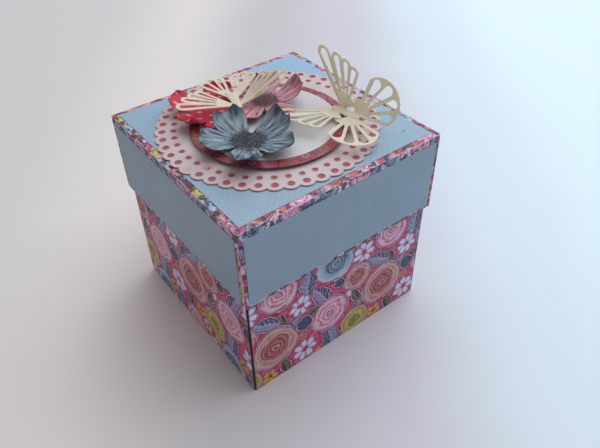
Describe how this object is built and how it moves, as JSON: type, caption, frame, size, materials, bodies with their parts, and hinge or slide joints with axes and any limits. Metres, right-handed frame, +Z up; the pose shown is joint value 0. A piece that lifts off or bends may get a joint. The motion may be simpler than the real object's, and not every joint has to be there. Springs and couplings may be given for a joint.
{
  "type": "explosion box",
  "caption": "Square folded card gift box whose loose walls fall open when its deep decorated lid is lifted off; paper doily, flowers and butterflies on top.",
  "frame": {"origin": "middle of the underside of the base", "axes": "+Z up, the lid lifts that way; -Y is the front, -X the left"},
  "size_m": [0.1036, 0.1036, 0.1277],
  "materials": {
    "printed_card": "matte print on card",
    "plain_card": "matte",
    "lid_printed_card": "matte print on card",
    "blue_paper": "matte",
    "rose_paper": "matte",
    "doily_card": "matte",
    "foam": "matte",
    "patterned_card": "matte print on card",
    "white_paper": "matte",
    "blue_petals": "matte",
    "red_petals": "matte",
    "pink_petals": "matte",
    "cream_card": "matte"
  },
  "bodies": {
    "box": {"outer_box": "printed_card", "middle_layer": "plain_card", "inner_layer": "plain_card"},
    "lid": {"lid_cap": "lid_printed_card", "lid_top_panel": "blue_paper", "lid_front_panel": "blue_paper", "lid_back_panel": "blue_paper", "lid_left_panel": "blue_paper", "lid_right_panel": "blue_paper", "doily_backing": "rose_paper", "doily": "doily_card", "mat_pads": "foam", "patterned_mat": "patterned_card", "white_disc": "white_paper", "blue_flower_pad": "foam", "blue_flower": "blue_petals", "red_flower_pad": "foam", "red_flower": "red_petals", "pink_flower_pad": "foam", "pink_flower": "pink_petals", "left_butterfly_pad": "foam", "left_butterfly": "cream_card", "right_butterfly_pad": "foam", "right_butterfly": "cream_card"}
  },
  "joints": [
    {"name": "lid_lift", "type": "slide", "parent": "box", "child": "lid", "axis": [0, 0, 1], "range_m": [0, 0.1]}
  ]
}
